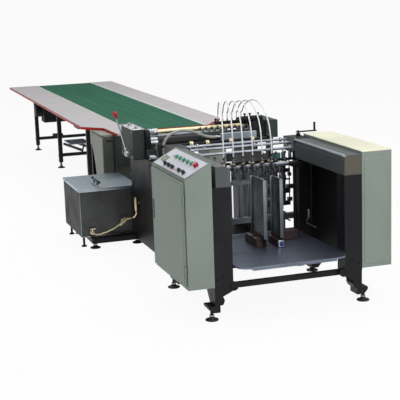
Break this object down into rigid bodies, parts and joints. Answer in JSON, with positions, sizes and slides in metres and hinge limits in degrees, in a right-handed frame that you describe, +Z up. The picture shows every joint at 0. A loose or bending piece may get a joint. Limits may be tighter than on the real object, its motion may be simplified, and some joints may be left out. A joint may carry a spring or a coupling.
{
  "type": "glue coating machine",
  "caption": "Glue coating line for sheets: pile feeder with suction head, gluing rollers with tank, and a green belt table.",
  "frame": {"origin": "on the floor, at the middle of the footprint", "axes": "+Y along the run of the sheets, from the feeder to the end of the belt table; +X to the right as seen from the feeder; +Z up"},
  "size_m": [1.8823, 9.0067, 1.414],
  "materials": {
    "black_enamel": "satin",
    "sage_enamel": "satin",
    "grey_enamel": "satin",
    "bright_steel": "polished",
    "slate_steel": "brushed",
    "stainless": "brushed",
    "brass": "polished",
    "white_panel": "satin",
    "green_belt": "matt",
    "laminate": "matt",
    "red_edging": "satin",
    "clear_tube": "smooth",
    "glue_tube": "smooth"
  },
  "bodies": {
    "line_frame": {"belt_bed": "stainless", "clutch_box": "grey_enamel", "control_cabinet": "sage_enamel", "control_panel": "white_panel", "conveyor_belt": "green_belt", "cross_rods": "bright_steel", "drain_valve": "brass", "drive_box": "black_enamel", "drive_housing": "sage_enamel", "feeder_side_left": "black_enamel", "feeder_side_right": "black_enamel", "front_tie_bar": "black_enamel", "glue_hose": "glue_tube", "glue_pipe": "brass", "glue_tank": "stainless", "glue_trough": "bright_steel", "head_cover_left": "sage_enamel", "head_cover_right": "sage_enamel", "head_roller": "bright_steel", "inlet_box": "slate_steel", "pipe_fitting": "brass", "rear_guide": "black_enamel", "side_cover_left": "grey_enamel", "side_cover_right": "grey_enamel", "stripper_bar": "black_enamel", "sucker_bar": "bright_steel", "suction_hose_1": "clear_tube", "suction_hose_2": "clear_tube", "suction_hose_3": "clear_tube", "suction_hose_4": "clear_tube", "suction_hose_5": "clear_tube", "suction_hose_6": "clear_tube", "table_board_left": "laminate", "table_board_right": "laminate", "table_edge_front": "red_edging", "table_edge_left": "red_edging", "table_edge_right": "red_edging", "table_legs_1": "black_enamel", "table_legs_2": "black_enamel", "table_legs_3": "black_enamel", "tail_roller": "bright_steel", "tank_lid": "stainless", "tank_stand": "black_enamel", "transfer_deck": "stainless", "unit_base": "black_enamel", "unit_housing_left": "grey_enamel", "unit_housing_right": "grey_enamel", "unit_side_left": "black_enamel", "unit_side_right": "black_enamel"},
    "cabinet_door": {"cabinet_door": "sage_enamel"},
    "pile_lift": {"pile_table": "slate_steel", "pile_stop_1": "grey_enamel", "pile_stop_2": "grey_enamel", "pile_stop_3": "grey_enamel"},
    "glue_lever": {"glue_lever": "bright_steel"},
    "glue_roller": {"glue_roller": "black_enamel"},
    "brass_roller": {"brass_roller": "brass"},
    "feed_shaft": {"feed_shaft": "black_enamel"},
    "hand_crank": {"hand_crank": "black_enamel"}
  },
  "joints": [
    {"name": "cabinet_door_hinge", "type": "hinge", "parent": "line_frame", "child": "cabinet_door", "pos_m": [-0.71925, -4.37115, 0.655], "axis": [0, 0, 1], "range_deg": [0, 110]},
    {"name": "pile_lift_slide", "type": "slide", "parent": "line_frame", "child": "pile_lift", "axis": [0, 0, 1], "range_m": [0, 0.45]},
    {"name": "glue_lever_turn", "type": "hinge", "parent": "line_frame", "child": "glue_lever", "pos_m": [-0.53625, -2.26315, 0.935], "axis": [1, 0, 0], "range_deg": [-25, 60]},
    {"name": "glue_roller_turn", "type": "hinge", "parent": "line_frame", "child": "glue_roller", "pos_m": [-0.38565, -2.33315, 1.03], "axis": [1, 0, 0], "continuous": true},
    {"name": "brass_roller_turn", "type": "hinge", "parent": "line_frame", "child": "brass_roller", "pos_m": [-0.38565, -2.27815, 1.112], "axis": [1, 0, 0], "continuous": true},
    {"name": "feed_shaft_turn", "type": "hinge", "parent": "line_frame", "child": "feed_shaft", "pos_m": [-0.38565, -2.74315, 1.05], "axis": [1, 0, 0], "continuous": true},
    {"name": "hand_crank_turn", "type": "hinge", "parent": "line_frame", "child": "hand_crank", "pos_m": [0.64435, -3.28815, 1.135], "axis": [0, 0, 1], "continuous": true}
  ]
}
